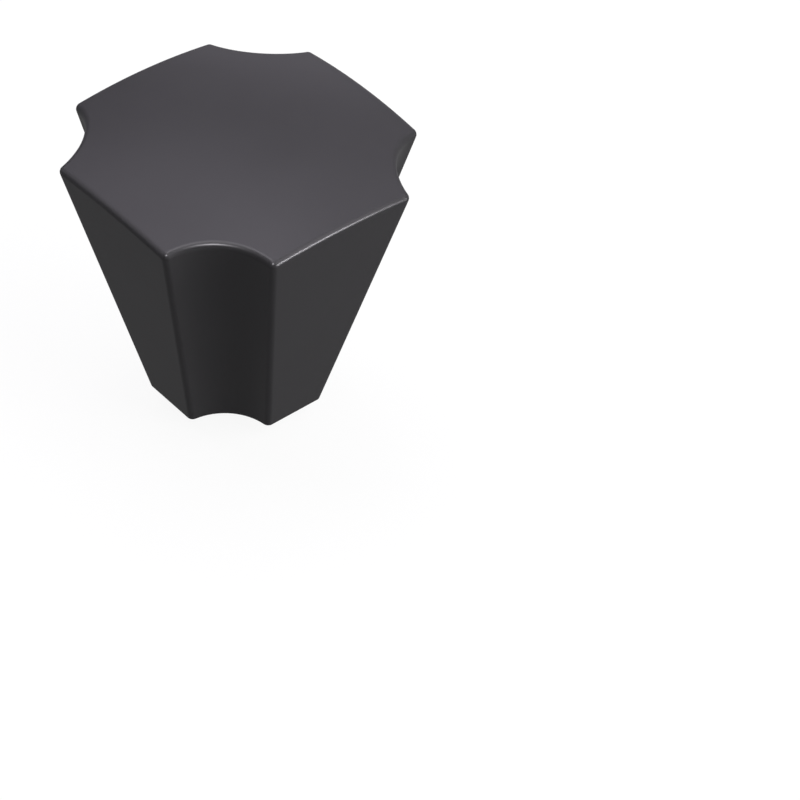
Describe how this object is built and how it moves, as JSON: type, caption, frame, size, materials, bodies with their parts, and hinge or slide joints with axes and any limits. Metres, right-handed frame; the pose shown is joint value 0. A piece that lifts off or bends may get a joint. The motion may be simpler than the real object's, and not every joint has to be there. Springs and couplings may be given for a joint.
{
  "type": "cabinet knob",
  "caption": "Square cabinet knob in satin black with concave corners, a domed front and a tapered body, fixed by a screw from behind.",
  "frame": {"origin": "on the screw hole's axis, in the plane of the foot that bears on the drawer or door front", "axes": "+Z runs along the screw hole from the foot to the domed front; the four flat panels face +X, -X, +Y and -Y; the spike stands on the foot, towards the -Y panel"},
  "size_m": [0.032, 0.032, 0.0327],
  "materials": {
    "black_coating": "satin"
  },
  "bodies": {
    "root": {"knob_body": "black_coating"}
  },
  "joints": []
}
